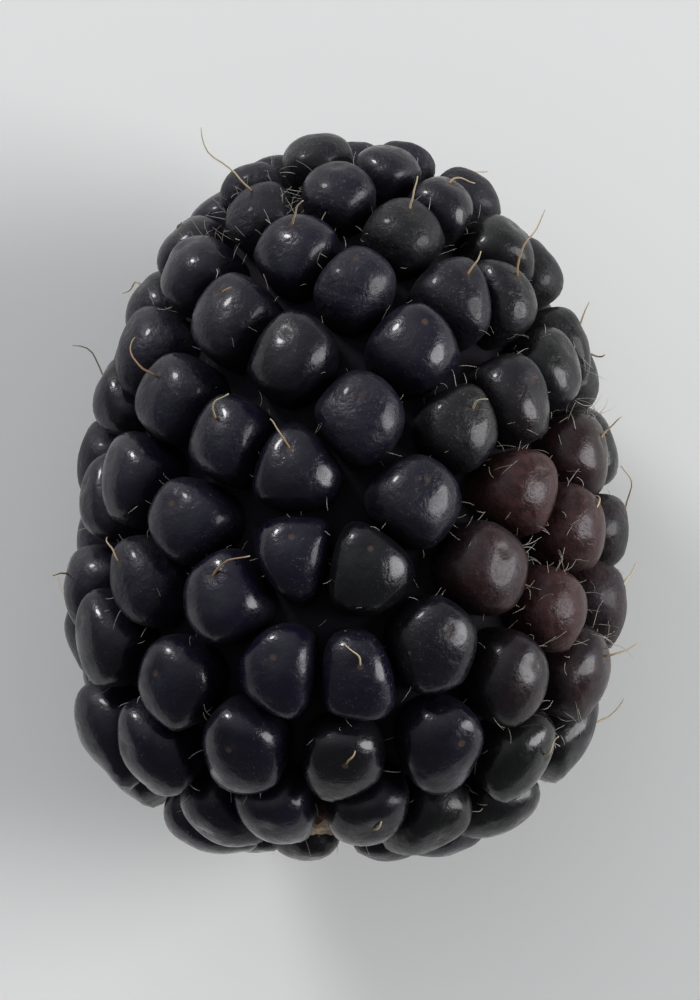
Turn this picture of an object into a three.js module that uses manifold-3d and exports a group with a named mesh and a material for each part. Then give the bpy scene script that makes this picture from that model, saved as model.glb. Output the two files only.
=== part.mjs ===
// Bramble berry as picked: a head of drupelets grown together round the pale plug of
// its receptacle. Millimetres, +Z up. The berry lies on its side on z = 0, its tip towards +Y.
import * as THREE from 'three';
import { mergeVertices } from 'three/addons/utils/BufferGeometryUtils.js';
import Module from 'manifold-3d';

// The whole head, over its drupelets and before its swellings.
const HEAD_LENGTH = 33.7;
const HEAD_WIDTH = 24.9;
const HEAD_DEPTH = 24.4;
const TIP_SHARE = 0.6; // how much of the length lies on the tip side of the widest section
const TIP_FULLNESS = 2.15; // superellipse exponent of the outline: 2 is an ellipse, 3 is blunter
const STEM_FULLNESS = 3;

// The drupelets, with half of a full-size one's width, length and depth.
const DRUPELET_COUNT = 130;
const HALF_WIDTH = 2.12;
const HALF_LENGTH = 2.8;
const HALF_DEPTH = 2.4;
const LONG_FROM = 22; // drupelets are round beyond this place, and get longer towards the stem
const LONG_ZONE = 14; // over this stretch
const TIP_SIZE = 0.78; // of the drupelets at the very tip, as a share of a full-size one
const TIP_ZONE = 9; // drupelets reach full size this far from the tip
const SIZE_SPREAD = 0.07;

// How the drupelets settle on the surface that their middles lie on.
const SEED = 2078425;
const SCATTER = 3;
const PASSES = 24;
const PUSH = 0.16;
const PUSH_REACH = 5.6;

// Swellings of the head: degrees round its axis from +X, place along it, height and spread.
const SWELLINGS = [
  { turn: 10, along: 1.5, height: 0.7, spread: 7 },
  { turn: 176, along: -6, height: 0.6, spread: 5 },
  { turn: 95, along: 6, height: 0.4, spread: 6 },
  { turn: 265, along: 9, height: -0.4, spread: 6 },
];

// The plug of the receptacle, and the hollow that it stands in at the stem end.
const RING_RADIUS = 5.05; // of the middles of the drupelets round the hollow
const PLUG_RADIUS = 2.5;
const PLUG_TAPER = 0.5;
const PLUG_LENGTH = 6;
const PLUG_RECESS = 1.1; // of the plug's end behind the drupelets round it
const PLUG_BEVEL = 0.5;
const PLUG_DISH = 0.4;
const PLUG_SIDES = 16;
const CLEARANCE = 0.3;

// How the head lies on its lowest drupelets, in degrees, and how far they are pressed in.
const ROLL = 7.111;
const LEAN = -7.301;
const PRESS = 0.3;

// Fineness of the solids.
const DRUPELET_SIDES = 8;
const DRUPELET_RINGS = 5;
const SIDE_GAIN = 1.04; // makes up for the flats between a drupelet's edges
const CORE_SIDES = 16;
const CORE_RINGS = 12;
const CORE_PROUD = 0.2; // of the core over the middles of the drupelets
const OUTLINE_STEPS = 400;
const SLAB = 60; // side of the block that cuts the flats, larger than the head

const GOLDEN_TURN = Math.PI * (3 - Math.sqrt(5));
const AXIS = new THREE.Vector3(0, 1, 0);

// Half lengths of the seat, the surface that the middles of the drupelets lie on.
const SEAT = {
  x: HEAD_WIDTH / 2 - HALF_DEPTH,
  z: HEAD_DEPTH / 2 - HALF_DEPTH,
  tip: HEAD_LENGTH * TIP_SHARE - HALF_DEPTH * TIP_SIZE,
  stem: HEAD_LENGTH * (1 - TIP_SHARE) - HALF_DEPTH,
};
const RING_PLACE = -SEAT.stem * (1 - (RING_RADIUS / SEAT.x) ** STEM_FULLNESS) ** (1 / STEM_FULLNESS);

function endOf(point) {
  return point.y >= 0
    ? { reach: SEAT.tip, fullness: TIP_FULLNESS }
    : { reach: SEAT.stem, fullness: STEM_FULLNESS };
}

// Moves a point to the seat, along the line from the middle of the head.
function toSeat(point) {
  const { reach, fullness } = endOf(point);
  const round = Math.hypot(point.x / SEAT.x, point.z / SEAT.z);
  const level = round ** fullness + Math.abs(point.y / reach) ** fullness;
  return point.multiplyScalar(level ** (-1 / fullness));
}

// Moves a point on the seat out of the hollow at the stem end.
function outOfHollow(point) {
  const radius = Math.hypot(point.x, point.z);
  if (point.y < 0 && radius < RING_RADIUS) {
    const widen = RING_RADIUS / radius;
    point.set(point.x * widen, RING_PLACE, point.z * widen);
  }
  return point;
}

function outwardAt(point) {
  const { reach, fullness } = endOf(point);
  const steep = Math.hypot(point.x / SEAT.x, point.z / SEAT.z) ** (fullness - 2);
  const endwise = Math.abs(point.y / reach) ** (fullness - 1) / reach;
  return new THREE.Vector3(
    (steep * point.x) / SEAT.x ** 2,
    Math.sign(point.y) * endwise,
    (steep * point.z) / SEAT.z ** 2,
  ).normalize();
}

// The direction over the surface that leads to the tip.
function tipwardAt(outward) {
  return AXIS.clone().addScaledVector(outward, -outward.y).normalize();
}

function swollen(point, outward) {
  const turn = Math.atan2(point.z, point.x);
  const radius = Math.hypot(point.x, point.z);
  let height = 0;
  for (const swelling of SWELLINGS) {
    const off = turn - THREE.MathUtils.degToRad(swelling.turn);
    const round = 2 * radius * Math.sin(off / 2);
    const far = Math.hypot(round, point.y - swelling.along) / swelling.spread;
    height += swelling.height * Math.exp(-far * far);
  }
  return point.clone().addScaledVector(outward, height);
}

// Size of a drupelet by its place, as a share of a full-size one.
function sizeAt(point) {
  const fromTip = THREE.MathUtils.smoothstep(SEAT.tip - point.y, 0, TIP_ZONE);
  return THREE.MathUtils.lerp(TIP_SIZE, 1, fromTip);
}

// Half the length of a full-size drupelet: long on the sides of the head, and round at its ends.
function halfLengthAt(point) {
  const side = Math.min(1, Math.hypot(point.x, point.z) / SEAT.x);
  const longShare = side * THREE.MathUtils.smoothstep(LONG_FROM - point.y, 0, LONG_ZONE);
  return THREE.MathUtils.lerp(HALF_WIDTH, HALF_LENGTH, longShare);
}

function seededRandom(seed) {
  let state = seed;
  return () => {
    state = (state * 16807) % 2147483647;
    return state / 2147483647;
  };
}

// Places on a golden spiral from the tip to the hollow, closer together where drupelets are small.
function spiral(count, start) {
  const lastAngle = Math.PI - Math.asin(RING_RADIUS / SEAT.x);
  const outline = [];
  let filled = 0;
  for (let i = 0; i <= OUTLINE_STEPS; i += 1) {
    const angle = (i / OUTLINE_STEPS) * lastAngle;
    const point = toSeat(new THREE.Vector3(Math.sin(angle), Math.cos(angle), 0));
    const last = i ? outline[i - 1].point : point;
    filled += (point.distanceTo(last) * (point.x + last.x)) / sizeAt(point) ** 2;
    outline.push({ point, filled });
  }
  const places = [];
  let step = 0;
  for (let i = 0; i < count; i += 1) {
    while (outline[step].filled < ((i + 0.5) / count) * filled) step += 1;
    places.push(outline[step].point.clone().applyAxisAngle(AXIS, start + i * GOLDEN_TURN));
  }
  return places;
}

// One pass in which neighbours push each other apart over the seat.
function settle(points, sizes) {
  const tipward = points.map((point) => tipwardAt(outwardAt(point)));
  const moves = points.map(() => new THREE.Vector3());
  for (let i = 0; i < points.length; i += 1) {
    const squeeze = 1 - (HALF_WIDTH / halfLengthAt(points[i])) ** 2;
    for (let j = i + 1; j < points.length; j += 1) {
      const apart = points[i].clone().sub(points[j]);
      const far = Math.sqrt(apart.lengthSq() - apart.dot(tipward[i]) ** 2 * squeeze);
      const reach = (PUSH_REACH * (sizes[i] * sizeAt(points[i]) + sizes[j] * sizeAt(points[j]))) / 2;
      if (far < reach) {
        apart.multiplyScalar(PUSH * (reach / far - 1));
        moves[i].add(apart);
        moves[j].sub(apart);
      }
    }
  }
  points.forEach((point, i) => outOfHollow(toSeat(point.add(moves[i]))));
}

// The drupelets: the middle of each, and its half width, half depth and half length as vectors.
function growDrupelets() {
  const random = seededRandom(SEED);
  const points = spiral(DRUPELET_COUNT, 2 * Math.PI * random());
  const sizes = [];
  for (const point of points) {
    point.x += SCATTER * (random() - 0.5);
    point.y += SCATTER * (random() - 0.5);
    point.z += SCATTER * (random() - 0.5);
    outOfHollow(toSeat(point));
    sizes.push(1 + SIZE_SPREAD * (2 * random() - 1));
  }
  for (let pass = 0; pass < PASSES; pass += 1) settle(points, sizes);
  return points.map((point, i) => {
    const outward = outwardAt(point);
    const tipward = tipwardAt(outward);
    const size = sizes[i] * sizeAt(point);
    return {
      middle: swollen(point, outward),
      width: new THREE.Vector3().crossVectors(tipward, outward).multiplyScalar(HALF_WIDTH * size),
      depth: outward.multiplyScalar(HALF_DEPTH * size),
      length: tipward.multiplyScalar(halfLengthAt(point) * size),
    };
  });
}

// How far a drupelet reaches in a direction.
function reachOf(drupelet, direction) {
  const { middle, width, depth, length } = drupelet;
  return middle.dot(direction)
    + Math.hypot(width.dot(direction), depth.dot(direction), length.dot(direction));
}

// Turns the head as it lies, and brings the middle of its outline over the origin and the
// drupelets that it lies on into the surface by PRESS.
function lyingDown(drupelets) {
  const turned = new THREE.Matrix4()
    .makeRotationX(THREE.MathUtils.degToRad(LEAN))
    .multiply(new THREE.Matrix4().makeRotationY(THREE.MathUtils.degToRad(ROLL)));
  const back = turned.clone().transpose();
  const furthest = (x, y, z) => {
    const direction = new THREE.Vector3(x, y, z).applyMatrix4(back);
    return Math.max(...drupelets.map((drupelet) => reachOf(drupelet, direction)));
  };
  const x = (furthest(-1, 0, 0) - furthest(1, 0, 0)) / 2;
  const y = (furthest(0, -1, 0) - furthest(0, 1, 0)) / 2;
  return new THREE.Matrix4().makeTranslation(x, y, furthest(0, 0, -1) - PRESS).multiply(turned);
}

const wasm = await Module();
wasm.setup();

// A closed geometry as a solid that can be joined and cut.
function solid(geometry) {
  geometry.deleteAttribute('normal');
  geometry.deleteAttribute('uv');
  const merged = mergeVertices(geometry);
  return new wasm.Manifold(new wasm.Mesh({
    numProp: 3,
    vertProperties: Float32Array.from(merged.attributes.position.array),
    triVerts: Uint32Array.from(merged.index.array),
  }));
}

function geometryOf(shape) {
  const { vertProperties, triVerts } = shape.getMesh();
  const geometry = new THREE.BufferGeometry();
  geometry.setAttribute('position', new THREE.BufferAttribute(vertProperties, 3));
  geometry.setIndex(new THREE.BufferAttribute(triVerts, 1));
  geometry.computeVertexNormals();
  return geometry;
}

function drupeletGeometry({ middle, width, depth, length }) {
  const frame = new THREE.Matrix4().makeBasis(
    width.clone().multiplyScalar(SIDE_GAIN),
    depth,
    length.clone().multiplyScalar(-SIDE_GAIN),
  );
  return new THREE.SphereGeometry(1, DRUPELET_SIDES, DRUPELET_RINGS)
    .applyMatrix4(frame.setPosition(middle));
}

// The middle of the head, which the drupelets are fused to and stand out of.
function coreGeometry() {
  const core = new THREE.SphereGeometry(1, CORE_SIDES, CORE_RINGS);
  const places = core.attributes.position;
  for (let i = 0; i < places.count; i += 1) {
    const point = toSeat(new THREE.Vector3().fromBufferAttribute(places, i));
    const outward = outwardAt(point);
    const place = swollen(point, outward).addScaledVector(outward, CORE_PROUD);
    places.setXYZ(i, place.x, place.y, place.z);
  }
  return core;
}

// A piece turned round the axis of the head, from radii and places along the axis.
function turnedGeometry(outline) {
  return new THREE.LatheGeometry(outline.map((point) => new THREE.Vector2(...point)), PLUG_SIDES);
}

const drupelets = growDrupelets();
const lying = lyingDown(drupelets);
const ringTop = Math.max(...drupelets.map((drupelet) => reachOf(drupelet, AXIS.clone().negate())));
const plugOuter = PLUG_RECESS - ringTop;
const plugInner = plugOuter + PLUG_LENGTH;

const plug = turnedGeometry([
  [0, plugOuter + PLUG_DISH],
  [PLUG_RADIUS - PLUG_BEVEL, plugOuter],
  [PLUG_RADIUS, plugOuter + PLUG_BEVEL],
  [PLUG_RADIUS - PLUG_TAPER, plugInner],
  [0, plugInner],
]);
const hollow = turnedGeometry([
  [0, -HEAD_LENGTH],
  [PLUG_RADIUS + CLEARANCE, -HEAD_LENGTH],
  [PLUG_RADIUS + CLEARANCE, plugOuter + PLUG_BEVEL],
  [PLUG_RADIUS + CLEARANCE - PLUG_TAPER, plugInner + CLEARANCE],
  [0, plugInner + CLEARANCE],
]);
const block = new THREE.BoxGeometry(SLAB, SLAB, SLAB).translate(0, 0, -SLAB / 2);
const head = drupelets
  .map((drupelet) => solid(drupeletGeometry(drupelet).applyMatrix4(lying)))
  .reduce((whole, one) => whole.add(one), solid(coreGeometry().applyMatrix4(lying)))
  .subtract(solid(hollow.applyMatrix4(lying)))
  .subtract(solid(block));

const headMesh = new THREE.Mesh(
  geometryOf(head),
  new THREE.MeshStandardMaterial({ color: 0x17151d, roughness: 0.3, metalness: 0 }),
);
headMesh.name = 'drupelets';

const plugMesh = new THREE.Mesh(
  plug.applyMatrix4(lying),
  new THREE.MeshStandardMaterial({ color: 0xd6cba3, roughness: 0.75, metalness: 0 }),
);
plugMesh.name = 'receptacle';

const berry = new THREE.Group();
berry.add(headMesh, plugMesh);

export default berry;
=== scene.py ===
"""A bramble berry lying on its side, laid out as a Blender add-on and run as a script.

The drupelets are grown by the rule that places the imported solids, so each soft sac stands where its
solid does. Lengths are in metres, with +Z up and the berry's tip towards +Y.
"""

import math

import bpy
import numpy as np
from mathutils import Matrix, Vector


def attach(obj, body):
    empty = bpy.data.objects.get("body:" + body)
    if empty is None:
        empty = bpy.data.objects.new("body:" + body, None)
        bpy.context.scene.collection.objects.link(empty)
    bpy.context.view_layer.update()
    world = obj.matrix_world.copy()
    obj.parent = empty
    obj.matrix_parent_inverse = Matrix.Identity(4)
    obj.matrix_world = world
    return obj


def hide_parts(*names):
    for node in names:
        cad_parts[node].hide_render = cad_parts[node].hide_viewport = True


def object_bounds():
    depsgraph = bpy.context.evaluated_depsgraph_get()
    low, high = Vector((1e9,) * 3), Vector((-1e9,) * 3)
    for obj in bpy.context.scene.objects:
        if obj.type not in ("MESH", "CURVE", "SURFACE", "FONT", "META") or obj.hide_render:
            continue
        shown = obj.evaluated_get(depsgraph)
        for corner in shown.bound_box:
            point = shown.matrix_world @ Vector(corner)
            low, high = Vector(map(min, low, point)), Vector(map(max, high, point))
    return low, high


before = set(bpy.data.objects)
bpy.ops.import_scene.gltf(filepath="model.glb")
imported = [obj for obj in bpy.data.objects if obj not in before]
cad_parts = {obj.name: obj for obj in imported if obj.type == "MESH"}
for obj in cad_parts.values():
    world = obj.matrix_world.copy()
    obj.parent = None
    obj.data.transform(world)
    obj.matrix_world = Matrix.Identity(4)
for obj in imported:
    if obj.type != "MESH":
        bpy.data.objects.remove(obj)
CAD_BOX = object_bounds()

bl_info = {
    "name": "Bramble berry",
    "version": (1, 0, 0),
    "blender": (4, 5, 0),
    "location": "3D View > Sidebar > Berry",
    "description": "Grows a ripe bramble berry, drupelet by drupelet",
    "category": "Add Mesh",
}

MM = 0.001
TAU = 2 * math.pi
GOLDEN_TURN = math.pi * (3 - math.sqrt(5))
OUTLINE_STEPS = 400
BODY = "root"
CENTRE = sum(np.array(corner) for corner in CAD_BOX) / 2

# Each of the head's draws is the one before it times a factor, within a modulus.
DRAW_FACTOR = 16807
DRAW_MODULUS = 2**31 - 1

# Starts of the other random draws.
SAC_SEED, BLUSH_SEED, PITH_SEED, STYLE_SEED, HAIR_SEED = 7, 11, 23, 5, 31

# Over 1, the rings of a sac's points stand closer together near its style.
RING_CROWDING = 1.2

# Threads may pass the berry's box by this share of its size, and stay this far over the floor.
ROOM_SHARE, FLOOR_GAP = 0.02, 0.15 * MM

# How much of its bend a thread keeps from step to step, and how much it draws anew.
BEND_KEPT, BEND_DRAWN = 0.8, 0.45

# A direction that threads don't grow along.
ASKEW = (0.31, 0.17, 0.94)

# Swellings of the head: degrees round its axis from +X, place along it, height and spread.
SWELLINGS = (
    (10, 1.5 * MM, 0.7 * MM, 7 * MM),
    (176, -6 * MM, 0.6 * MM, 5 * MM),
    (95, 6 * MM, 0.4 * MM, 6 * MM),
    (265, 9 * MM, -0.4 * MM, 6 * MM),
)


def length(name, millimetres, description):
    return bpy.props.FloatProperty(
        name=name, description=description, default=millimetres * MM, unit="LENGTH", precision=5
    )


def share(name, default, description):
    return bpy.props.FloatProperty(
        name=name, description=description, default=default, min=0, soft_max=1, subtype="FACTOR"
    )


def number(name, default, description):
    return bpy.props.FloatProperty(name=name, description=description, default=default)


def count(name, default, description):
    return bpy.props.IntProperty(name=name, description=description, default=default, min=0)


def degrees(name, default, description):
    return bpy.props.FloatProperty(
        name=name, description=description, default=math.radians(default), subtype="ANGLE"
    )


def colour(name, default, description):
    return bpy.props.FloatVectorProperty(
        name=name, description=description, default=default, size=3, min=0, max=1, subtype="COLOR"
    )


class HeadSettings(bpy.types.PropertyGroup):
    """Sizes of the head and how its drupelets settle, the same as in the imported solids"""

    length: length("Length", 33.7, "Whole head, from stem end to tip")
    width: length("Width", 24.9, "Whole head, before its swellings")
    depth: length("Depth", 24.4, "Whole head, before its swellings")
    tip_share: share("Tip share", 0.6, "Part of the length on the tip side of the widest section")
    tip_fullness: number("Tip fullness", 2.15, "Superellipse exponent of the tip side")
    stem_fullness: number("Stem fullness", 3, "Superellipse exponent of the stem side")
    drupelets: count("Drupelets", 130, "Number of drupelets")
    half_width: length("Half width", 2.12, "Half the width of a full-size drupelet")
    half_length: length("Half length", 2.8, "Half the length of a full-size drupelet")
    half_depth: length("Half depth", 2.4, "Half the depth of a full-size drupelet")
    long_from: length("Long from", 22, "Drupelets are round beyond this place, and longer towards the stem")
    long_zone: length("Long zone", 14, "Stretch over which they reach their full length")
    tip_size: share("Tip size", 0.78, "Size of the drupelets at the very tip")
    tip_zone: length("Tip zone", 9, "Drupelets reach full size this far from the tip")
    size_spread: share("Size spread", 0.07, "How much drupelets differ in size")
    seed: count("Seed", 2078425, "Start of the random draws")
    scatter: length("Scatter", 3, "How far drupelets start from an even spiral")
    passes: count("Passes", 24, "How many times the drupelets push each other apart")
    push: share("Push", 0.16, "How hard they push")
    push_reach: length("Push reach", 5.6, "How far a full-size drupelet pushes")
    ring_radius: length("Ring radius", 5.05, "Middles of the drupelets round the receptacle")
    roll: degrees("Roll", 7.111, "How the head lies, round its own axis")
    lean: degrees("Lean", -7.301, "How the head lies, tip up or down")
    press: length("Press", 0.3, "How far the drupelets that it lies on are pressed in")


class SacSettings(bpy.types.PropertyGroup):
    """Form and colours of the drupelets' sacs"""

    rings: count("Rings", 23, "Rings of faces from a sac's style to its root")
    sides: count("Sides", 32, "Faces round a sac")
    plumpness: number("Plumpness", 1.13, "How far sacs swell sideways against their neighbours")
    roundness: number("Roundness", 4.8, "How sharply a sac turns at its neighbours: higher is sharper")
    swell: share("Swell", 0.27, "How much further a sac swells sideways where nothing presses on it")
    gap: length("Gap", 0.05, "Between two sacs")
    lump: share("Lumps", 0.028, "Broad unevenness of a sac, as a share of its radius")
    wrinkle: share("Wrinkles", 0.007, "Fine unevenness of a dull sac, as a share of its radius")
    style_tilt: number("Style tilt", 0.3, "How far the style stands towards the tip")
    dimple: length("Dimple", 0.09, "Depth of the hollow that the style stands in")
    dimple_radius: length("Dimple radius", 0.42, "Radius of that hollow")
    core_proud: length("Core", -0.45, "How far it stands over the sacs' middles, or under them")
    ripe: colour("Ripe", (0.0032, 0.0028, 0.0062), "Skin of a ripe sac")
    violet: colour("Violet", (0.0046, 0.0034, 0.012), "Bluer skin")
    olive: colour("Olive", (0.0046, 0.0052, 0.0041), "Greener skin")
    red: colour("Red", (0.037, 0.0138, 0.0128), "Skin of a sac that is not quite ripe")
    bloom: colour("Bloom", (0.07, 0.07, 0.078), "Dull bloom on the skin")
    dust: colour("Dust", (0.12, 0.115, 0.11), "Specks on the skin")
    scar: colour("Scar", (0.06, 0.036, 0.02), "Spot where the style stands or stood")
    # Also the painted crease shade that the sacs' skin is pulled towards where they press together
    core: colour("Core", (0.007, 0.0058, 0.008), "Shaded flesh between the sacs")


class ReceptacleSettings(bpy.types.PropertyGroup):
    """Form and colours of the pale plug at the stem end"""

    radius: length("Radius", 2.5, "At its outer end")
    taper: length("Taper", 0.5, "How much narrower its inner end is")
    recess: length("Recess", 1.1, "Of its end behind the drupelets round it")
    depth: length("Depth", 6, "Of the whole plug")
    clearance: length("Clearance", 0.3, "Between the plug and the drupelets")
    cream: colour("Cream", (0.56, 0.46, 0.3), "Pith")
    olive: colour("Olive", (0.33, 0.25, 0.09), "Greener side of the pith")
    brown: colour("Brown", (0.22, 0.1, 0.06), "Bruised pith")
    juice: colour("Juice", (0.03, 0.009, 0.016), "Stain on the plug's side, where drupelets grew")


class ThreadSettings(bpy.types.PropertyGroup):
    """Dried styles and the fine hairs between the drupelets"""

    style_share: share("Styles", 0.38, "Share of the drupelets that keep their style")
    style_length: length("Style length", 2.1, "Of an average dried style")
    style_radius: length("Style radius", 0.058, "At its root")
    hairs: count("Hairs", 9000, "Number of fine hairs")
    hair_length: length("Hair length", 0.62, "Of an average hair")
    hair_radius: length("Hair radius", 0.019, "At its root")
    dried: colour("Dried style", (0.29, 0.18, 0.09), "Thread of a dried style")
    straw: colour("Straw", (0.54, 0.45, 0.3), "Paler end of a dried style")
    hair: colour("Hair", (0.3, 0.26, 0.2), "Fine hair")
    fluff: colour("Fluff", (0.6, 0.57, 0.52), "Paler fine hair")


class StageSettings(bpy.types.PropertyGroup):
    """Floor, lights and camera"""

    floor: colour("Floor", (0.94, 0.935, 0.925), "Plain floor")
    floor_side: length("Floor side", 40000, "Of the square floor")
    light_distance: length("Light distance", 1800, "From the berry to the lights")
    camera_height: length("Camera height", 450, "Over the floor")
    view_height: length("View height", 47, "What the camera takes in from top to bottom")
    turn: degrees("Turn", 2.5, "Of the camera, so that the berry leans")
    sky: share("Sky", 0.15, "Even light from all round")
    glow: share("Glow", 0.7, "Brighter light from one side overhead")


class BerrySettings(bpy.types.PropertyGroup):
    """Everything that can be set on the berry"""

    head: bpy.props.PointerProperty(type=HeadSettings)
    sacs: bpy.props.PointerProperty(type=SacSettings)
    receptacle: bpy.props.PointerProperty(type=ReceptacleSettings)
    threads: bpy.props.PointerProperty(type=ThreadSettings)
    stage: bpy.props.PointerProperty(type=StageSettings)


# Growing the head


def rows_dot(a, b):
    return np.sum(a * b, axis=-1)


def unit(vectors):
    return vectors / np.linalg.norm(vectors, axis=-1, keepdims=True)


def smooth(x):
    x = np.clip(x, 0, 1)
    return x * x * (3 - 2 * x)


class Seat:
    """The surface that the middles of the drupelets lie on"""

    def __init__(self, head):
        self.head = head
        self.x = head.width / 2 - head.half_depth
        self.z = head.depth / 2 - head.half_depth
        self.tip = head.length * head.tip_share - head.half_depth * head.tip_size
        self.stem = head.length * (1 - head.tip_share) - head.half_depth
        fullness = head.stem_fullness
        self.ring_place = -self.stem * (1 - (head.ring_radius / self.x) ** fullness) ** (1 / fullness)

    def ends(self, points):
        """How far the head reaches on each point's side, and how full its outline is there"""
        tip_side = points[:, 1] >= 0
        return (
            np.where(tip_side, self.tip, self.stem),
            np.where(tip_side, self.head.tip_fullness, self.head.stem_fullness),
        )

    def onto(self, points):
        """Points moved to the seat along the lines from the head's middle"""
        reach, fullness = self.ends(points)
        level = np.hypot(points[:, 0] / self.x, points[:, 2] / self.z) ** fullness
        level += np.abs(points[:, 1] / reach) ** fullness
        return points * (level ** (-1 / fullness))[:, None]

    def out_of_hollow(self, points):
        """Points on the stem side moved out of the receptacle's hollow"""
        radius = np.hypot(points[:, 0], points[:, 2])
        inside = (points[:, 1] < 0) & (radius < self.head.ring_radius)
        widen = np.where(inside, self.head.ring_radius / np.maximum(radius, 1e-9), 1)
        moved = points * np.stack([widen, np.ones_like(widen), widen], 1)
        moved[inside, 1] = self.ring_place
        return moved

    def outward(self, points):
        reach, fullness = self.ends(points)
        steep = np.hypot(points[:, 0] / self.x, points[:, 2] / self.z) ** (fullness - 2)
        endwise = np.sign(points[:, 1]) * np.abs(points[:, 1] / reach) ** (fullness - 1) / reach
        return unit(
            np.stack([steep * points[:, 0] / self.x**2, endwise, steep * points[:, 2] / self.z**2], 1)
        )

    def size_at(self, points):
        """Size of a drupelet by its place, as a share of a full-size one"""
        head = self.head
        return head.tip_size + (1 - head.tip_size) * smooth((self.tip - points[:, 1]) / head.tip_zone)

    def half_length_at(self, points):
        """Half length of a full-size drupelet: long on the head's sides, and round at its ends"""
        head = self.head
        side = np.minimum(1, np.hypot(points[:, 0], points[:, 2]) / self.x)
        share_long = side * smooth((head.long_from - points[:, 1]) / head.long_zone)
        return head.half_width + (head.half_length - head.half_width) * share_long


def tipward_at(outward):
    """The directions over the surface that lead to the tip"""
    return unit(np.array([0.0, 1.0, 0.0]) - outward * outward[:, 1:2])


def swollen(points, outward):
    turn = np.arctan2(points[:, 2], points[:, 0])
    radius = np.hypot(points[:, 0], points[:, 2])
    height = np.zeros(len(points))
    for degrees_round, along, most, spread in SWELLINGS:
        off = turn - math.radians(degrees_round)
        far = np.hypot(2 * radius * np.sin(off / 2), points[:, 1] - along) / spread
        height += most * np.exp(-far * far)
    return points + outward * height[:, None]


def seeded_draws(seed):
    """An endless run of numbers from 0 to 1, the same one for the same seed"""
    state = seed
    while True:
        state = state * DRAW_FACTOR % DRAW_MODULUS
        yield state / DRAW_MODULUS


def spiral(seat, start):
    """Places on a golden spiral from tip to hollow, closer together where drupelets are small"""
    last_angle = math.pi - math.asin(seat.head.ring_radius / seat.x)
    angles = np.arange(OUTLINE_STEPS + 1) / OUTLINE_STEPS * last_angle
    outline = seat.onto(np.stack([np.sin(angles), np.cos(angles), np.zeros_like(angles)], 1))
    steps = np.linalg.norm(np.diff(outline, axis=0), axis=1) * (outline[1:, 0] + outline[:-1, 0])
    filled = np.concatenate([[0], np.cumsum(steps / seat.size_at(outline[1:]) ** 2)])
    order = np.arange(seat.head.drupelets)
    level = np.searchsorted(filled, (order + 0.5) / len(order) * filled[-1])
    turn = start + order * GOLDEN_TURN
    radius = outline[level, 0]
    return np.stack([radius * np.cos(turn), outline[level, 1], -radius * np.sin(turn)], 1)


def settle(seat, points, sizes):
    """The points after one pass in which neighbours push each other apart over the seat"""
    head = seat.head
    first, second = np.triu_indices(len(points), 1)
    tipward = tipward_at(seat.outward(points))[first]
    squeeze = 1 - (head.half_width / seat.half_length_at(points)[first]) ** 2
    apart = points[first] - points[second]
    far = np.sqrt(rows_dot(apart, apart) - rows_dot(apart, tipward) ** 2 * squeeze)
    scaled = sizes * seat.size_at(points)
    reach = head.push_reach * (scaled[first] + scaled[second]) / 2
    push = np.where(far < reach, head.push * (reach / far - 1), 0)[:, None] * apart
    moves = np.zeros_like(points)
    np.add.at(moves, first, push)
    np.add.at(moves, second, -push)
    return seat.out_of_hollow(seat.onto(points + moves))


class Head:
    """The grown head as it lies: the middle of each drupelet, and its half sizes as vectors"""

    def __init__(self, head):
        seat = Seat(head)
        draws = seeded_draws(head.seed)
        points = spiral(seat, TAU * next(draws))
        drawn = np.array([[next(draws) for _ in range(4)] for _ in points])
        points = seat.out_of_hollow(seat.onto(points + head.scatter * (drawn[:, :3] - 0.5)))
        sizes = 1 + head.size_spread * (2 * drawn[:, 3] - 1)
        for _ in range(head.passes):
            points = settle(seat, points, sizes)
        outward = seat.outward(points)
        tipward = tipward_at(outward)
        sizes = (sizes * seat.size_at(points))[:, None]
        self.seat = seat
        self.turned = rotation_x(head.lean) @ rotation_y(head.roll)
        self.shift = np.zeros(3)
        self.middle = swollen(points, outward) @ self.turned.T
        self.width = np.cross(tipward, outward) * head.half_width * sizes @ self.turned.T
        self.depth = outward * head.half_depth * sizes @ self.turned.T
        self.length = tipward * seat.half_length_at(points)[:, None] * sizes @ self.turned.T
        self.stem_reach = self.furthest(self.turned @ (0, -1, 0))
        x = (self.furthest((-1, 0, 0)) - self.furthest((1, 0, 0))) / 2
        y = (self.furthest((0, -1, 0)) - self.furthest((0, 1, 0))) / 2
        self.shift = np.array([x, y, self.furthest((0, 0, -1)) - head.press])
        self.middle = self.middle + self.shift

    def furthest(self, direction):
        """How far the drupelets reach in a direction"""
        direction = np.array(direction, float)
        halves = np.stack([self.width @ direction, self.depth @ direction, self.length @ direction])
        return float(np.max(self.middle @ direction + np.linalg.norm(halves, axis=0)))

    def lay(self, points):
        """Points of the upright head, placed as it lies"""
        return points @ self.turned.T + self.shift


def rotation_x(angle):
    c, s = math.cos(angle), math.sin(angle)
    return np.array([[1, 0, 0], [0, c, -s], [0, s, c]])


def rotation_y(angle):
    c, s = math.cos(angle), math.sin(angle)
    return np.array([[c, 0, s], [0, 1, 0], [-s, 0, c]])


# Meshes


def closed_grid(rings, sides, first=0):
    """Faces of a closed form with a point at each end: its rings of corners, then the two points"""
    faces = []
    top = first + rings * sides
    for side in range(sides):
        after = (side + 1) % sides
        faces.append((top, first + side, first + after))
        for ring in range(rings - 1):
            here = first + ring * sides
            faces.append((here + side, here + sides + side, here + sides + after, here + after))
        last = first + (rings - 1) * sides
        faces.append((last + side, top + 1, last + after))
    return faces


def add_object(name, data):
    made = bpy.data.objects.new(name, data)
    bpy.context.scene.collection.objects.link(made)
    return made


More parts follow.
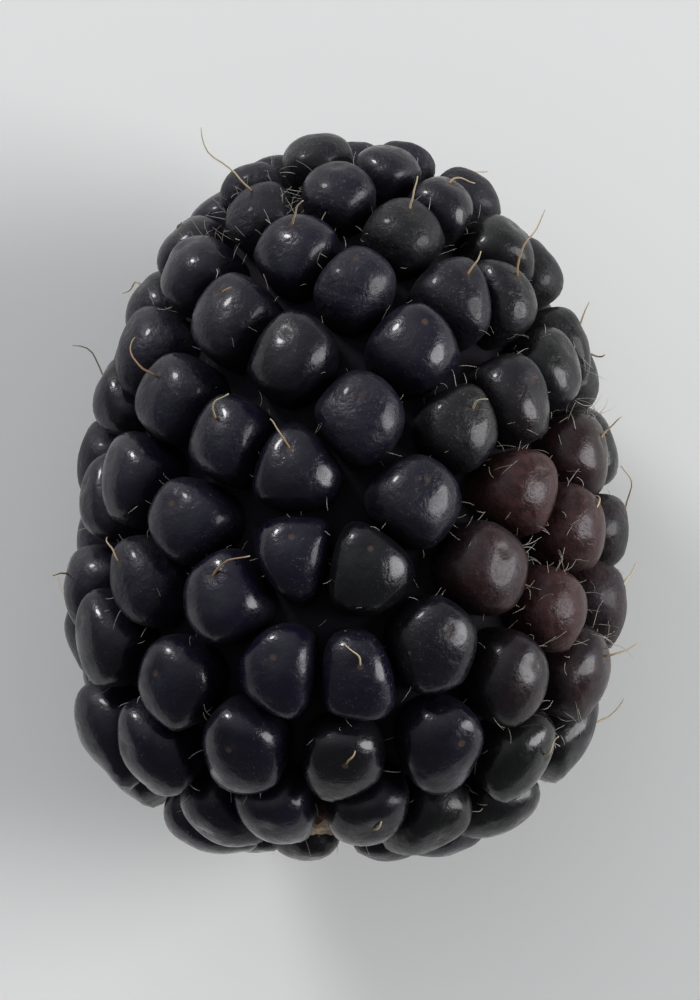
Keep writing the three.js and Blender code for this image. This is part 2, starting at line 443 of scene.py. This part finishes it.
def mesh_piece(name, points, faces, numbers, material):
    """A smooth mesh whose points carry the given numbers, riding on the berry"""
    mesh = bpy.data.meshes.new(name)
    mesh.from_pydata(points.tolist(), [], faces)
    for key, values in numbers.items():
        attribute = mesh.attributes.new(key, "FLOAT", "POINT")
        attribute.data.foreach_set("value", np.asarray(values, np.float32))
    mesh.shade_smooth()
    mesh.materials.append(material)
    piece = add_object(name, mesh)
    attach(piece, BODY)
    return piece


def sac_directions(rings, sides):
    """Unit directions out of a sac's middle: up towards its style, and two across"""
    angle = np.pi * (np.arange(1, rings) / rings) ** RING_CROWDING
    turn = np.arange(sides) / sides * TAU
    up = np.repeat(np.cos(angle), sides)
    out = np.repeat(np.sin(angle), sides)
    across = out * np.tile(np.cos(turn), rings - 1)
    other = out * np.tile(np.sin(turn), rings - 1)
    return np.concatenate([np.stack([up, across, other], 1), [[1, 0, 0], [-1, 0, 0]]])


class Sacs:
    """Forms of the drupelets: each bulges as far as its neighbours, the pith and the floor let it"""

    # Waves over a sac: how many are added up, and how close together their crests are
    broad_waves, broad_lean = 3, 1.9
    fine_waves, fine_lean = 7, 6.5
    # Drupelets press on each other, and on the pith, within this many times their half sizes
    neighbour_reach, pith_reach = 1.4, 1.2
    # A sac swells where it reaches less than this share of the way to a plane, below its crown
    open_from, open_span, crown_height = 0.95, 0.35, 0.6
    # A sac held back by this share of its radius counts as wholly pressed
    wholly_pressed = 0.25
    # Stretch of the berry over which its bloom changes
    bloom_zone = 8 * MM

    def __init__(self, head, sacs, receptacle):
        self.head, self.sacs, self.receptacle = head, sacs, receptacle
        self.random = np.random.default_rng(SAC_SEED)
        self.half = np.stack(
            [
                np.linalg.norm(head.width, axis=1) * sacs.plumpness,
                np.linalg.norm(head.depth, axis=1),
                np.linalg.norm(head.length, axis=1) * sacs.plumpness,
            ],
            1,
        )
        self.frames = np.stack([unit(head.width), unit(head.depth), unit(head.length)], 1)
        self.up = unit(self.frames[:, 1] + sacs.style_tilt * self.frames[:, 2])
        self.local = sac_directions(sacs.rings, sacs.sides)
        self.broad = self.drawn_waves(self.broad_waves, self.broad_lean)
        self.fine = self.drawn_waves(self.fine_waves, self.fine_lean)
        self.bloom = self.drawn_bloom()

    def drawn_waves(self, waves, lean):
        """Leans and phases of every sac's waves"""
        every = len(self.head.middle)
        leans = self.random.normal(size=(every, waves, 3)) * lean
        return leans, self.random.uniform(0, TAU, (every, waves))

    def drawn_bloom(self):
        """How dull each sac is: more at the tip, and less at the stem"""
        along = self.head.middle[:, 1] / self.bloom_zone
        tipward, stemward = smooth(along - 1), smooth(-along - 0.4)
        dulled = self.random.uniform(size=len(along)) ** 1.6 * (0.7 + 0.3 * tipward - 0.5 * stemward)
        return np.minimum(1, dulled + 0.35 * tipward)

    def directions(self, i):
        side = self.frames[i, 0]
        return self.local @ np.stack([self.up[i], side, np.cross(self.up[i], side)])

    def stretch(self, i, directions):
        """How far sac i would reach if nothing pressed on it"""
        inverse = np.linalg.norm((directions @ self.frames[i].T) / self.half[i], axis=-1)
        return (1 + self.sacs.lump * self.waves(self.broad, i, directions)) / inverse

    @staticmethod
    def waves(kind, i, directions):
        """Smooth random waves over sac i, about as high as they are low"""
        leans, phases = kind
        return np.cos(directions @ leans[i].T + phases[i]).sum(axis=-1) / math.sqrt(len(phases[i]) / 2)

    def pressing(self, i):
        """Directions to the planes that press on sac i, and how far they are from its middle"""
        head = self.head
        apart = head.middle - head.middle[i]
        far = np.linalg.norm(apart, axis=1)
        reach = self.neighbour_reach * (self.half[i].max() + self.half.max())
        near = np.nonzero((far > 0) & (far < reach))[0]
        towards = apart[near] / far[near, None]
        mine = self.stretch(i, towards)
        theirs = np.array([self.stretch(j, -t[None])[0] for j, t in zip(near, towards)])
        planes = far[near] * mine / (mine + theirs) - self.sacs.gap / 2
        axis = head.turned[:, 1]
        from_axis = head.middle[i] - head.shift
        from_axis = from_axis - axis * (from_axis @ axis)
        radius = np.linalg.norm(from_axis)
        pith = radius - self.receptacle.radius - self.receptacle.clearance
        if head.middle[i] @ axis < head.shift @ axis and pith < self.half[i, 0] * self.pith_reach:
            towards = np.concatenate([towards, [-from_axis / radius]])
            planes = np.append(planes, pith)
        if head.middle[i, 2] < self.half[i].max():
            towards = np.concatenate([towards, [[0, 0, -1]]])
            planes = np.append(planes, head.middle[i, 2])
        return towards, planes

    def form(self, i):
        """Points of sac i, with how hard each is pressed and how near it is to the style"""
        sacs = self.sacs
        directions = self.directions(i)
        towards, planes = self.pressing(i)
        facing = np.maximum(directions @ towards.T, 0) / planes
        free = self.stretch(i, directions)
        open_side = smooth((self.open_from - facing.max(1) * free) / self.open_span)
        open_side *= smooth(1 - self.local[:, 0] / self.crown_height)
        free *= 1 + sacs.swell * open_side
        crowded = free ** -sacs.roundness + (facing ** sacs.roundness).sum(1)
        radius = crowded ** (-1 / sacs.roundness)
        radius *= 1 + sacs.wrinkle * self.bloom[i] * self.waves(self.fine, i, directions)
        from_style = np.arccos(np.clip(self.local[:, 0], -1, 1)) * self.half[i, 1]
        dimple = np.exp(-((from_style / sacs.dimple_radius) ** 2))
        points = self.head.middle[i] + directions * (radius - sacs.dimple * dimple)[:, None]
        pressed = smooth((free / radius - 1) / self.wholly_pressed)
        return points, pressed, dimple


def core_points(head, proud, rings=24, sides=40):
    """The head's fused middle, which shows between the sacs"""
    local = sac_directions(rings, sides)
    points = head.seat.onto(local[:, [1, 0, 2]] * (1, 1, -1))
    outward = head.seat.outward(points)
    return head.lay(swollen(points, outward) + outward * proud), closed_grid(rings - 1, sides)


# Materials


class Wire:
    """A socket that numbers come out of: sums written on it add Math nodes"""

    def __init__(self, nodes, socket):
        self.nodes, self.socket = nodes, socket

    def math(self, operation, *others):
        return self.nodes.node("Math", {"operation": operation}, dict(enumerate((self, *others))))

    def __add__(self, other):
        return self.math("ADD", other)

    def __radd__(self, other):
        return self.math("ADD", other)

    def __sub__(self, other):
        return self.math("SUBTRACT", other)

    def __rsub__(self, other):
        return self.nodes.node("Math", {"operation": "SUBTRACT"}, {0: other, 1: self})

    def __mul__(self, other):
        return self.math("MULTIPLY", other)

    def __rmul__(self, other):
        return self.math("MULTIPLY", other)

    def __pow__(self, other):
        return self.math("POWER", other)


class Nodes:
    """A tree of nodes, added one by one"""

    def __init__(self, tree):
        self.tree = tree

    def node(self, kind, settings=None, inputs=None, output=0):
        """Adds a node, sets it, fills its sockets with values or links, and gives one output"""
        made = self.tree.nodes.new("ShaderNode" + kind)
        for key, value in (settings or {}).items():
            if key == "stops":
                self.stops(made.color_ramp.elements, value)
            else:
                setattr(made, key, value)
        self.set(made, inputs or {})
        wanted = (s for k, s in enumerate(made.outputs) if output in (k, s.identifier, s.name))
        return Wire(self, next(wanted))

    @staticmethod
    def stops(elements, wanted):
        while len(elements) < len(wanted):
            elements.new(1)
        for element, (position, value) in zip(elements, wanted):
            element.position = position
            element.color = (*value, 1)

    def set(self, made, inputs):
        for key, value in inputs.items():
            names = (key, key.replace("_", " ").capitalize()) if isinstance(key, str) else (key,)
            socket = next(
                s for k, s in enumerate(made.inputs)
                if {k, s.identifier, s.name, s.name.capitalize()} & set(names)
            )
            if isinstance(value, Wire):
                self.tree.links.new(value.socket, socket)
            elif socket.type == "RGBA":
                socket.default_value = (*value, 1)
            else:
                socket.default_value = value


class Finish(Nodes):
    """A procedural material"""

    def __init__(self, name, **surface):
        self.material = bpy.data.materials.new(name)
        self.material.use_nodes = True
        super().__init__(self.material.node_tree)
        self.surface = self.tree.nodes["Principled BSDF"]
        self.set(self.surface, surface)
        self.place = self.node("TexCoord", output="Object")

    def feed(self, **inputs):
        self.set(self.surface, inputs)

    def carried(self, name):
        """A number that the mesh's points carry"""
        return self.node("Attribute", {"attribute_name": name}, output="Fac")

    def noise(self, size, detail=3.0, roughness=0.55, stretch=None):
        """Cloudy noise from 0 to 1 with features of a size in metres"""
        place = self.place
        if stretch:
            place = self.node("Mapping", {}, {"Vector": place, "Scale": stretch})
        return self.node(
            "TexNoise",
            {"noise_dimensions": "3D"},
            {"Vector": place, "Scale": 1 / size, "Detail": detail, "Roughness": roughness},
            "Fac",
        )

    def span(self, value, low, high, start=0.0, end=1.0):
        """A number that goes smoothly from start to end as the value goes from low to high"""
        inputs = {"Value": value, "From Min": low, "From Max": high, "To Min": start, "To Max": end}
        return self.node("MapRange", {"interpolation_type": "SMOOTHSTEP"}, inputs)

    def ramp(self, value, *stops):
        """A colour from stops, each a place from 0 to 1 and its colour"""
        return self.node("ValToRGB", {"stops": stops}, {"Fac": value}, "Color")

    def mix(self, factor, a, b, blend="MIX"):
        """Two colours mixed"""
        return self.node(
            "Mix",
            {"data_type": "RGBA", "blend_type": blend},
            {"Factor_Float": factor, "A_Color": a, "B_Color": b},
            "Result_Color",
        )

    def bump(self, height, distance, strength=1.0, normal=None):
        inputs = {"Height": height, "Distance": distance, "Strength": strength}
        if normal:
            inputs["Normal"] = normal
        return self.node("Bump", {}, inputs, "Normal")


def toned(colour, share):
    return tuple(share * part for part in colour)


def skin(sacs):
    """Taut skin, glossy on some sacs and dulled by its bloom on others, redder where not quite ripe,
    painted darker in its creases as shade
    """
    finish = Finish("berry skin", coat_roughness=0.11, ior=1.325, specular_tint=(0.96, 0.93, 1))
    tint, ripeness, bloom = finish.carried("tint"), finish.carried("ripeness"), finish.carried("bloom")
    pressed, dimple = finish.carried("pressed"), finish.carried("dimple")
    broad, cloud = finish.noise(3.5 * MM, 2), finish.noise(1.1 * MM, 4)
    fine, pores = finish.noise(0.34 * MM, 4, 0.6), finish.noise(0.12 * MM, 2)
    violet = finish.span(tint * 0.6 + broad * 0.7, 0.5, 0.9)
    olive = finish.span(broad * 0.7 - tint * 0.6, -0.05, 0.35)
    base = finish.mix(violet, sacs.ripe, sacs.violet)
    base = finish.mix(olive, base, sacs.olive)
    unripe = finish.span(ripeness + (cloud - 0.5) * 0.7, 0.25, 0.8, 1.0, 0.0)
    mottle = finish.span(fine * 0.5 + cloud * 0.5, 0.4, 0.6)
    red = finish.mix(mottle, toned(sacs.red, 0.65), toned(sacs.red, 1.35))
    base = finish.mix(unripe, base, red)
    clouded = finish.span(cloud + bloom * 0.15, 0.48, 0.7)
    base = finish.mix(clouded * (0.02 + bloom * 0.08), base, sacs.bloom)
    speck = finish.span(pores + fine * 0.3, 0.78, 0.86)
    dusty = speck * finish.span(broad + bloom * 0.25, 0.45, 0.75) * 0.5
    base = finish.mix(dusty, base, sacs.dust)
    scar = finish.span(dimple + (fine - 0.5) * 0.15, 0.8, 0.95)
    base = finish.mix(scar * 0.8, base, sacs.scar)
    # Painted crease shade: where the sacs press together, the skin colour is pulled towards the dark core
    # colour, less so on red sacs
    base = finish.mix(pressed * (1 - unripe * 0.8) * 0.6, base, sacs.core)
    rough = finish.span(fine * 0.4 + cloud * 0.6, 0.36, 0.64, 0.17, 0.35)
    rough = rough + bloom * 0.28 + unripe * 0.07 + dusty * 0.4 + scar * 0.4 + pressed * 0.2
    coat = finish.span(cloud, 0.35, 0.65, 0.55, 0.23) * (1 - bloom * 0.8)
    coat = coat * (1 - pressed) * (1 - unripe * 0.75)
    ripple = finish.bump(cloud * (0.6 + bloom + unripe * 0.3), 0.25 * MM, 0.65)
    pebbles = finish.bump(fine * (0.4 + bloom + unripe * 0.35) + pores * 0.25, 0.065 * MM, 0.65, ripple)
    finish.feed(base_color=base, roughness=rough, coat_weight=coat, normal=pebbles)
    return finish.material


def core_finish(sacs):
    """Dark wet flesh, matt so that the creases stay black"""
    finish = Finish("core", roughness=0.8, specular_ior_level=0.1)
    grain = finish.noise(0.4 * MM, 3)
    base = finish.mix(grain, sacs.core, toned(sacs.core, 1.8))
    finish.feed(base_color=base, normal=finish.bump(grain, 0.1 * MM, 0.5))
    return finish.material


def pith(receptacle):
    """Torn pale pith, bruised in its middle and olive towards one side"""
    finish = Finish("pith", roughness=0.65, subsurface_weight=0.15, subsurface_scale=0.5 * MM)
    grain, cloud = finish.noise(0.22 * MM, 5, 0.7), finish.noise(0.9 * MM, 3)
    rim, across = finish.carried("rim"), finish.carried("across")
    brown, cream, olive = receptacle.brown, receptacle.cream, receptacle.olive
    place = across * 0.4 + 0.5 + (grain - 0.5) * 0.35 + (cloud - 0.5) * 0.5
    base = finish.ramp(place, (0.3, cream), (0.46, brown), (0.6, cream), (0.85, olive))
    torn = finish.span(rim + (grain - 0.5) * 0.5 + (cloud - 0.5) * 0.4, 0.75, 1.1)
    base = finish.mix(torn * 0.7, base, brown)
    base = finish.mix(grain * 0.6, base, (0.42, 0.32, 0.2), "MULTIPLY")
    stained = finish.span(rim + (cloud - 0.5) * 0.35 + (grain - 0.5) * 0.2, 0.97, 1.2)
    base = finish.mix(stained * 0.92, base, receptacle.juice)
    finish.feed(base_color=base, normal=finish.bump(grain + cloud * 0.5, 0.15 * MM, 0.9))
    return finish.material


def thread_finish(name, root, end):
    """A dry thread, paler towards its end, and some of them paler all along"""
    finish = Finish(name, roughness=0.55, specular_ior_level=0.4)
    along, pale = finish.carried("along"), finish.carried("pale")
    grain = finish.noise(0.2 * MM, 3)
    place = along * 0.7 + pale * 0.8 + (grain - 0.5) * 0.6
    base = finish.mix(finish.span(place, 0.2, 1.1), root, end)
    finish.feed(base_color=base, normal=finish.bump(grain, 0.02 * MM, 0.6))
    return finish.material


def floor_finish(stage):
    finish = Finish("floor", roughness=0.75)
    cloud = finish.noise(60 * MM, 3)
    finish.feed(base_color=finish.mix(cloud, stage.floor, toned(stage.floor, 0.985)))
    return finish.material


# Threads


def tube(path, radii, sides):
    """A tapered tube along a path, as rings of points and its two end points"""
    path = np.asarray(path)
    along = unit(np.gradient(path, axis=0))
    across = unit(np.cross(along, ASKEW))
    other = np.cross(along, across)
    turn = np.arange(sides) / sides * TAU
    ring = across[:, None] * np.cos(turn)[None, :, None] + other[:, None] * np.sin(turn)[None, :, None]
    points = path[:, None] + ring * np.asarray(radii)[:, None, None]
    return np.concatenate([points.reshape(-1, 3), [path[0], path[-1]]])


def thread_room():
    """The lowest and highest corners of the box that threads stay in"""
    low, high = (np.array(corner) for corner in CAD_BOX)
    more = ROOM_SHARE * (high - low)
    low, high = low - more, high + more
    low[2] = FLOOR_GAP
    return low, high


def curled_path(random, start, direction, reach, steps, curl):
    """A thread that wanders as it grows, and lies down along the sides of its room"""
    points, step = [np.array(start)], reach / (steps - 1)
    low, high = thread_room()
    bend = random.normal(size=3) * curl
    for k in range(1, steps):
        bend = bend * BEND_KEPT + random.normal(size=3) * curl * BEND_DRAWN
        left = (steps - k) * step
        direction = unit(direction + bend)
        direction = np.clip(direction, (low - points[-1]) / left, (high - points[-1]) / left)
        points.append(points[-1] + direction * step)
    return points


class Bundle:
    """Threads gathered into one mesh"""

    def __init__(self):
        self.points, self.faces, self.along, self.pale, self.total = [], [], [], [], 0

    def add(self, path, radius, taper, sides, pale):
        along = np.linspace(0, 1, len(path))
        tube_points = tube(path, radius * (1 - taper * along), sides)
        self.points.append(tube_points)
        self.faces += closed_grid(len(path), sides, self.total)
        self.along.append(np.concatenate([np.repeat(along, sides), [0, 1]]))
        self.pale.append(np.full(len(tube_points), pale))
        self.total += len(tube_points)

    def piece(self, name, material):
        numbers = {"along": np.concatenate(self.along), "pale": np.concatenate(self.pale)}
        return mesh_piece(name, np.concatenate(self.points), self.faces, numbers, material)


# Operators


def settings():
    return bpy.context.scene.berry


def grown():
    """The settings, and the head and the sacs that they make"""
    berry = settings()
    head = Head(berry.head)
    return berry, head, Sacs(head, berry.sacs, berry.receptacle)


class BERRY_OT_stage(bpy.types.Operator):
    """Lay the pale floor, hang the soft lights and set the camera over the berry"""

    bl_idname = "berry.stage"
    bl_label = "Stage"

    # Name, direction from the berry, spread and radiance of each light
    lights = (
        ("side window", (0.93, 0.12, 0.34), (0.58, 0.93), 7.6),
        ("back lamp", (-0.55, 0.72, 0.32), (0.2, 0.2), 45.0),
    )
    glow_side = (-0.35, 0.8, 0.5)
    sky_tone = (0.93, 0.965, 1)
    nearest_seen = 10 * MM

    def execute(self, context):
        stage = settings().stage
        self.floor(stage)
        for name, direction, spread, radiance in self.lights:
            self.light(stage, name, unit(np.array(direction)), spread, radiance)
        self.sky(context, stage)
        context.scene.view_settings.view_transform = "Standard"
        self.camera(context, stage)
        return {"FINISHED"}

    def sky(self, context, stage):
        """Even light from all round, brighter towards one side overhead"""
        world = context.scene.world or bpy.data.worlds.new("World")
        context.scene.world = world
        world.use_nodes = True
        nodes = Nodes(world.node_tree)
        towards = nodes.node("TexCoord", output="Generated")
        inputs = {0: towards, 1: tuple(unit(np.array(self.glow_side)))}
        facing_glow = nodes.node("VectorMath", {"operation": "DOT_PRODUCT"}, inputs, "Value")
        glow = facing_glow.math("MAXIMUM", 0) ** 2
        nodes.set(
            nodes.tree.nodes["Background"],
            {"Color": self.sky_tone, "Strength": glow * stage.glow + stage.sky},
        )

    def floor(self, stage):
        half = stage.floor_side / 2
        mesh = bpy.data.meshes.new("floor")
        corners = [(-half, -half, 0), (half, -half, 0), (half, half, 0), (-half, half, 0)]
        mesh.from_pydata(corners, [], [(0, 1, 2, 3)])
        mesh.materials.append(floor_finish(stage))
        floor = add_object("floor", mesh)

    def light(self, stage, name, towards, spread, radiance):
        """A soft oval light, its width and height given for a unit of distance"""
        lamp = bpy.data.lights.new(name, "AREA")
        lamp.shape = "ELLIPSE"
        lamp.size, lamp.size_y = (stage.light_distance * part for part in spread)
        lamp.energy = radiance * math.pi * lamp.size * lamp.size_y * math.pi / 4
        hung = add_object(name, lamp)
        hung.location = CENTRE + towards * stage.light_distance
        hung.rotation_euler = facing(towards)
        hung.visible_camera = False

    def camera(self, context, stage):
        lens = bpy.data.cameras.new("camera")
        lens.lens = lens.sensor_width * stage.camera_height / stage.view_height
        lens.clip_start = self.nearest_seen
        camera = add_object("camera", lens)
        camera.location = (CENTRE[0], CENTRE[1], stage.camera_height)
        camera.rotation_euler = (0, 0, stage.turn)
        context.scene.camera = camera


def facing(direction):
    """Turns that make a light look back along a direction, with its width level"""
    x, y, z = direction
    return (math.acos(z), 0, math.atan2(x, -y))


class BERRY_OT_drupelets(bpy.types.Operator):
    """Grow the drupelets, each a soft sac that bulges against its neighbours, on their core"""

    bl_idname = "berry.drupelets"
    bl_label = "Drupelets"

    numbers = "pressed", "dimple", "tint", "ripeness", "bloom"
    # Drupelets near this place are not quite ripe, some more so than others
    blush, blush_spread = np.array([9.3, -1.9, 17]) * MM, 5.9 * MM
    blush_least, blush_most = 0.85, 1.25
    # Shares of a drupelet's tint that are drawn and that go by its place, bluest on the -X side
    tint_drawn, tint_placed = 0.55, 0.45
    tint_from, tint_zone = -5 * MM, 14 * MM

    def execute(self, context):
        berry, head, sacs = grown()
        random = np.random.default_rng(BLUSH_SEED)
        points, faces, numbers, total = [], [], {key: [] for key in self.numbers}, 0
        for i, middle in enumerate(head.middle):
            form, pressed, dimple = sacs.form(i)
            near = math.exp(-(np.linalg.norm(middle - self.blush) / self.blush_spread) ** 2)
            ripeness = 1 - near * random.uniform(self.blush_least, self.blush_most)
            points.append(form)
            faces += closed_grid(berry.sacs.rings - 1, berry.sacs.sides, total)
            total += len(form)
            bluer = 1 - smooth((middle[0] - self.tint_from) / self.tint_zone)
            tint = self.tint_drawn * random.uniform() + self.tint_placed * bluer
            carried = pressed, dimple, tint, ripeness, sacs.bloom[i]
            for key, value in zip(self.numbers, carried):
                numbers[key].append(np.broadcast_to(value, len(form)))
        numbers = {key: np.concatenate(values) for key, values in numbers.items()}
        outer = mesh_piece("drupelet_sacs", np.concatenate(points), faces, numbers, skin(berry.sacs))
        core = mesh_piece("core", *core_points(head, berry.sacs.core_proud), {}, core_finish(berry.sacs))
        for piece in (outer, core):
            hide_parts("drupelets")
        return {"FINISHED"}


class BERRY_OT_receptacle(bpy.types.Operator):
    """Make the torn pale plug of the receptacle at the stem end"""

    bl_idname = "berry.receptacle"
    bl_label = "Receptacle"

    rings, wall_rings, sides = 26, 8, 120
    dish = 0.42 * MM
    # Where the end rolls over, how far back, and how round it is by then
    roll_from, roll_span, roll_drop = 0.8, 0.2, 0.35 * MM
    rolled_radius, rolled_share = 0.96, 0.25
    # The way towards the plug's olive side, as an angle round its axis
    olive_turn = 0.5
    tongues = 8
    fibres, fibre_height = 9, 0.035 * MM

    def execute(self, context):
        berry = settings()
        head, plug = Head(berry.head), berry.receptacle
        random = np.random.default_rng(PITH_SEED)
        turn = np.arange(self.sides) / self.sides * TAU
        outer = plug.recess - head.stem_reach
        inner = outer + plug.depth
        edge = plug.radius * self.ragged(random, turn)
        tears = self.tears(random)
        points, rim, across = [], [], []
        for ring in range(1, self.rings + 1):
            part = ring / self.rings
            rolled = smooth((part - self.roll_from) / self.roll_span)
            rounder = plug.radius * self.rolled_radius - edge
            radius = edge * part + rounder * part * rolled**3 * self.rolled_share
            place = outer + self.dish * (1 - part**2) + self.roll_drop * rolled + tears(part, turn)
            points.append(np.stack([radius * np.cos(turn), place, radius * np.sin(turn)], 1))
            rim.append(np.full(self.sides, part))
            across.append(part * np.cos(turn - self.olive_turn))
        top = points[-1]
        for ring in range(1, self.wall_rings + 1):
            part = ring / self.wall_rings
            foot = plug.radius - plug.taper
            radius = np.hypot(top[:, 0], top[:, 2]) * (1 - smooth(2 * part)) + foot * smooth(2 * part)
            place = top[:, 1] * (1 - part) + inner * part
            points.append(np.stack([radius * np.cos(turn), place, radius * np.sin(turn)], 1))
            rim.append(np.full(self.sides, 1 + part))
            across.append(np.cos(turn - self.olive_turn))
        points = head.lay(np.concatenate([*points, [[0, outer + self.dish, 0], [0, inner, 0]]]))
        numbers = {"rim": np.concatenate([*rim, [0, 2]]), "across": np.concatenate([*across, [0, 0]])}
        faces = closed_grid(self.rings + self.wall_rings, self.sides)
        piece = mesh_piece("receptacle_pith", points, faces, numbers, pith(plug))
        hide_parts("receptacle")
        return {"FINISHED"}

    def ragged(self, random, turn):
        """The edge, torn into tongues that reach between the drupelets"""
        shifts = random.uniform(-0.25, 0.25, self.tongues)
        middles = (np.arange(self.tongues) + shifts) / self.tongues * TAU
        reaches, widths = random.uniform(0.05, 0.25, self.tongues), random.uniform(4, 11, self.tongues)
        off = np.abs((turn[:, None] - middles + math.pi) % TAU - math.pi)
        torn = (reaches * np.exp(-off * widths)).max(axis=1)
        return 0.84 + torn + 0.02 * np.cos(17 * turn) * np.sin(5 * turn)

    def tears(self, random):
        """Torn unevenness of the plug's end: fibres that run out from its middle"""
        waves = [
            (random.integers(3, 22), random.uniform(1, 9), random.uniform(0, TAU))
            for _ in range(self.fibres)
        ]

        def height(part, turn):
            total = sum(np.cos(lobes * turn + run * part + phase) for lobes, run, phase in waves)
            return self.fibre_height * total * part**0.7

        return height


class BERRY_OT_styles(bpy.types.Operator):
    """Leave a curled dry style on many of the drupelets"""

    bl_idname = "berry.styles"
    bl_label = "Dried styles"

    steps, sides = 12, 6
    # Styles are rooted this far under the skin, and no lower than this over the floor
    root_sink, lowest_root = 0.1 * MM, 1.5 * MM
    # How far they lean to the tip and aside, how much they curl, and how much they thin
    tip_lean, side_lean, curl, taper = 0.5, 0.5, 0.28, 0.55

    def execute(self, context):
        berry, head, sacs = grown()
        threads, bundle = berry.threads, Bundle()
        random = np.random.default_rng(STYLE_SEED)
        for i in range(len(head.middle)):
            kept, stretch = random.uniform(), random.lognormal(-0.1, 0.4)
            wander = random.normal(size=3) * self.side_lean
            if kept > threads.style_share:
                continue
            form, _, _ = sacs.form(i)
            root = form[-2] - sacs.up[i] * self.root_sink
            if root[2] < self.lowest_root:
                continue
            direction = unit(sacs.up[i] + unit(head.length[i]) * self.tip_lean + wander)
            long = threads.style_length * stretch
            path = curled_path(random, root, direction, long, self.steps, self.curl)
            bundle.add(path, threads.style_radius, self.taper, self.sides, random.uniform())
        piece = bundle.piece("dried_styles", thread_finish("dried style", threads.dried, threads.straw))
        return {"FINISHED"}


class BERRY_OT_hairs(bpy.types.Operator):
    """Scatter fine pale hairs in the creases between the drupelets, thickest in a few tufts"""

    bl_idname = "berry.hairs"
    bl_label = "Fine hairs"

    steps, sides = 6, 3
    tufts = MM * np.array(
        [(10.4, 5, 15.5), (-4.8, 13.5, 15.5), (8.5, -11, 15), (10.8, -6.5, 14), (8, -1.5, 19)]
    )
    tuft_spread = 3.6 * MM
    # Hairs are rooted on this share of a sac's points from its style, and no lower than this
    rooted_share, lowest_root = 0.6, 1.2 * MM
    # A hair's chance, what a tuft adds to it, and how pressed the skin is at its root
    chance, tuft_chance, crease = 0.15, 0.7, 0.17
    taper = 0.75

    def execute(self, context):
        berry, head, sacs = grown()
        threads, bundle = berry.threads, Bundle()
        random = np.random.default_rng(HAIR_SEED)
        forms = [sacs.form(i) for i in range(len(head.middle))]
        for _ in range(threads.hairs):
            i = random.integers(len(forms))
            form, pressed, _ = forms[i]
            pick = random.integers(int(len(form) * self.rooted_share))
            root, outward = form[pick], unit(form[pick] - head.middle[i])
            far = np.linalg.norm(self.tufts - root, axis=1) / self.tuft_spread
            fuzz = float(np.exp(-(far**2)).sum())
            strewn = random.normal(size=3) * (0.45 + 0.35 * fuzz)
            direction = unit(outward + unit(head.depth[i]) * 0.6 + strewn)
            long = threads.hair_length * random.uniform(0.5, 1.6) * (1 + 0.6 * fuzz)
            wanted = random.uniform() < self.chance + self.tuft_chance * fuzz
            creased = pressed[pick] > self.crease * (1 - 0.95 * fuzz)
            if not (wanted and creased) or root[2] < self.lowest_root:
                continue
            path = curled_path(random, root, direction, long, self.steps, 0.13 + 0.12 * fuzz)
            radius = threads.hair_radius * (1 + 0.2 * fuzz)
            bundle.add(path, radius, self.taper, self.sides, random.uniform())
        piece = bundle.piece("fine_hairs", thread_finish("fine hair", threads.hair, threads.fluff))
        return {"FINISHED"}


class BERRY_PT_panel(bpy.types.Panel):
    """Lists the steps that make the berry, with its settings"""

    bl_idname = "BERRY_PT_panel"
    bl_label = "Bramble berry"
    bl_space_type = "VIEW_3D"
    bl_region_type = "UI"
    bl_category = "Berry"

    def draw(self, context):
        for step, group in STEPS:
            box = self.layout.box()
            box.operator(step.bl_idname)
            values = getattr(context.scene.berry, group)
            for key in values.bl_rna.properties.keys():
                if key not in ("rna_type", "name"):
                    box.prop(values, key)


STEPS = (
    (BERRY_OT_stage, "stage"),
    (BERRY_OT_drupelets, "sacs"),
    (BERRY_OT_receptacle, "receptacle"),
    (BERRY_OT_styles, "threads"),
    (BERRY_OT_hairs, "threads"),
)
GROUPS = (HeadSettings, SacSettings, ReceptacleSettings, ThreadSettings, StageSettings, BerrySettings)
CLASSES = (*GROUPS, *(step for step, _ in STEPS), BERRY_PT_panel)


def register():
    for made in CLASSES:
        bpy.utils.register_class(made)
    bpy.types.Scene.berry = bpy.props.PointerProperty(type=BerrySettings)


def unregister():
    del bpy.types.Scene.berry
    for made in reversed(CLASSES):
        bpy.utils.unregister_class(made)


def main():
    register()
    for step, _ in STEPS:
        group, name = step.bl_idname.split(".")
        getattr(getattr(bpy.ops, group), name)()


if __name__ == "__main__":
    main()
